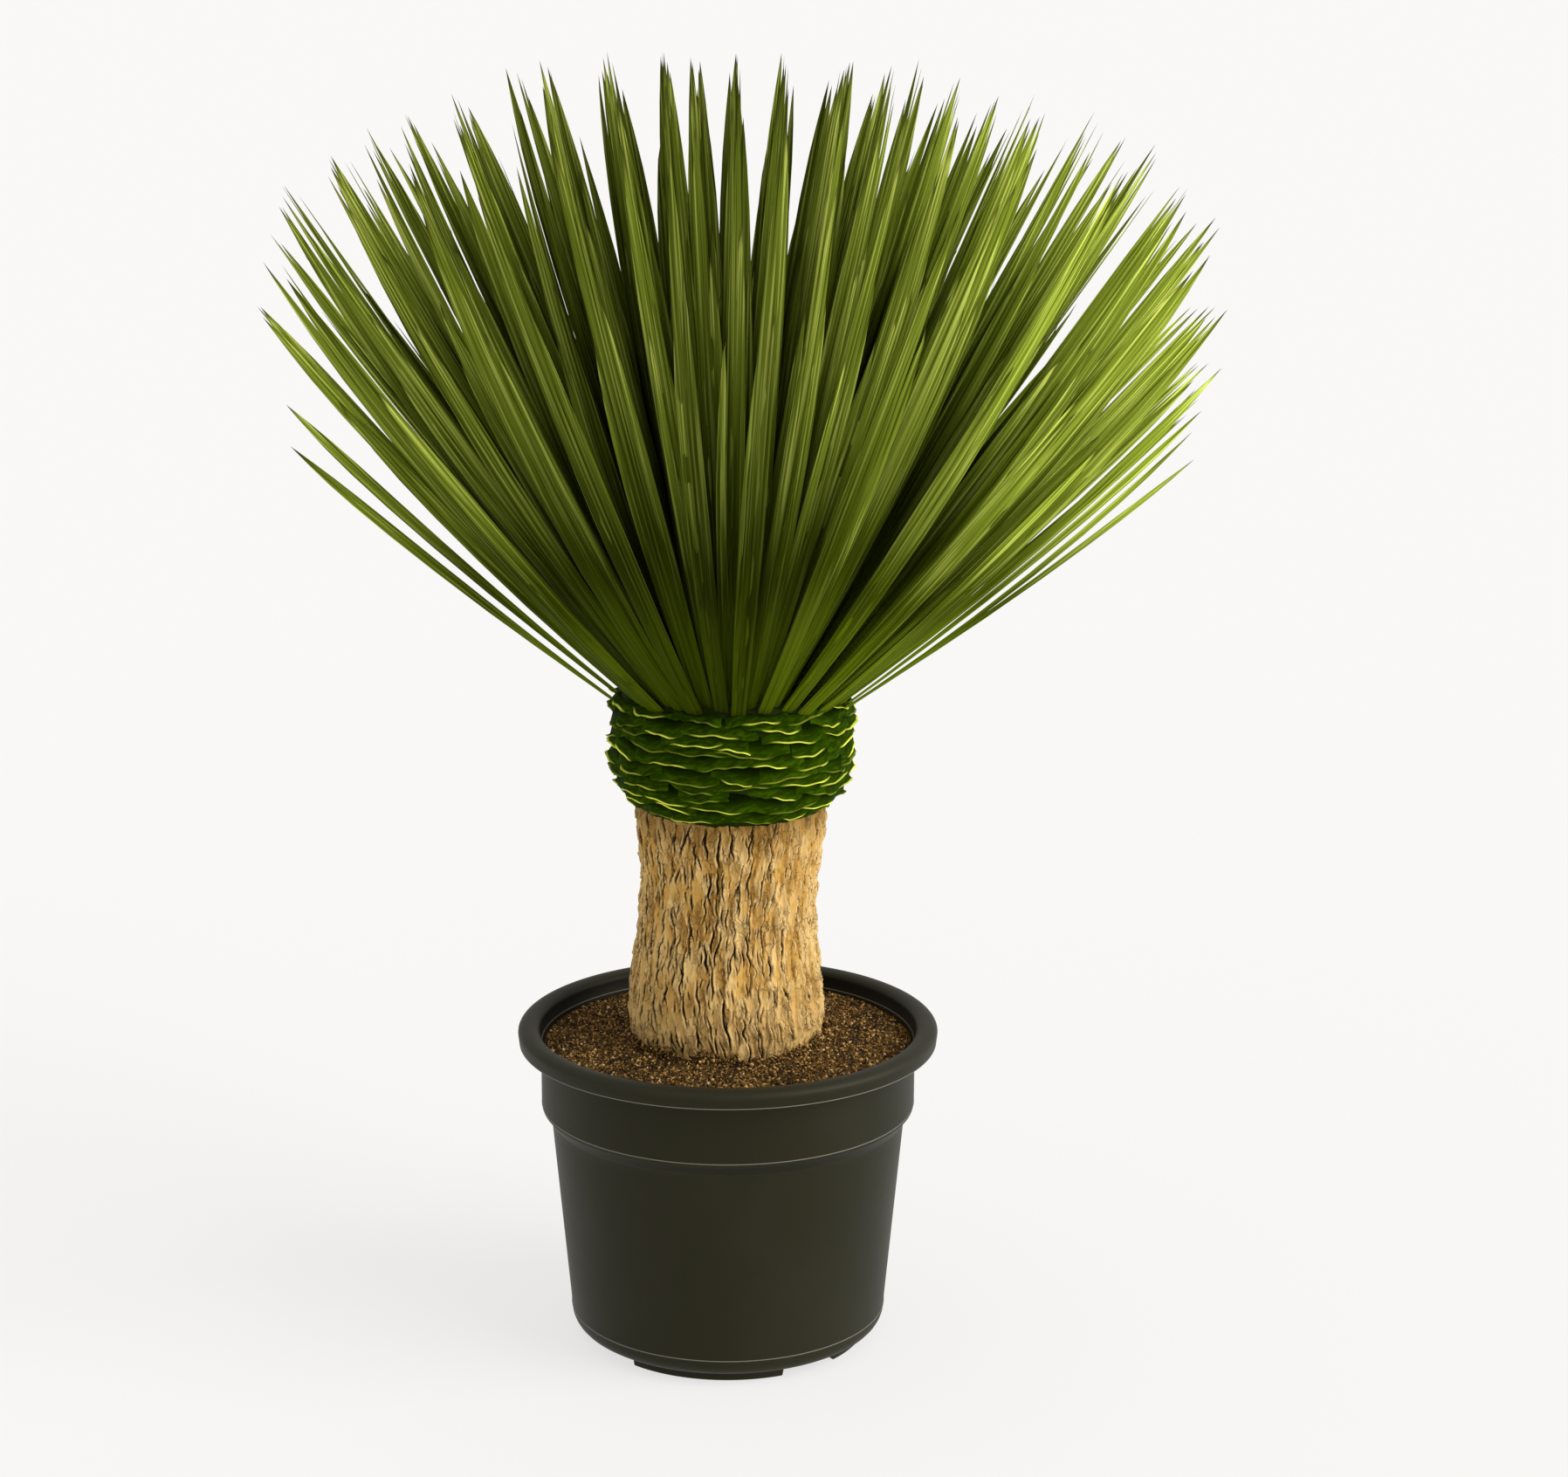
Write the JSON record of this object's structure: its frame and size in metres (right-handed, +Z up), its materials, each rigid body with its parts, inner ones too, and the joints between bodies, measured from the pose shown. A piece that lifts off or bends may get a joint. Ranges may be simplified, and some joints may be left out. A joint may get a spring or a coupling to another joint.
{
  "type": "potted beaked yucca",
  "caption": "Potted plant with a fan-like crown of long narrow leaves on a short thick barked trunk, standing in soil in a round nursery pot.",
  "frame": {"origin": "centre of the pot's foot ring, on the surface that it stands on", "axes": "+Z up along the pot's axis, -Y to the plant's front"},
  "size_m": [1.1488, 0.8998, 1.5947],
  "materials": {
    "pot_plastic": "satin black, finely grained",
    "potting_mix": "rough, gritty, damp",
    "bark": "corky, deeply fissured",
    "leaf_bases": "waxy green with pale cut edges",
    "leaves": "stiff, finely ribbed, satin"
  },
  "bodies": {
    "root": {"nursery_pot": "pot_plastic", "potting_soil": "potting_mix", "trunk": "bark", "leaf_base_collar": "leaf_bases", "leaf_crown": "leaves"}
  },
  "joints": []
}
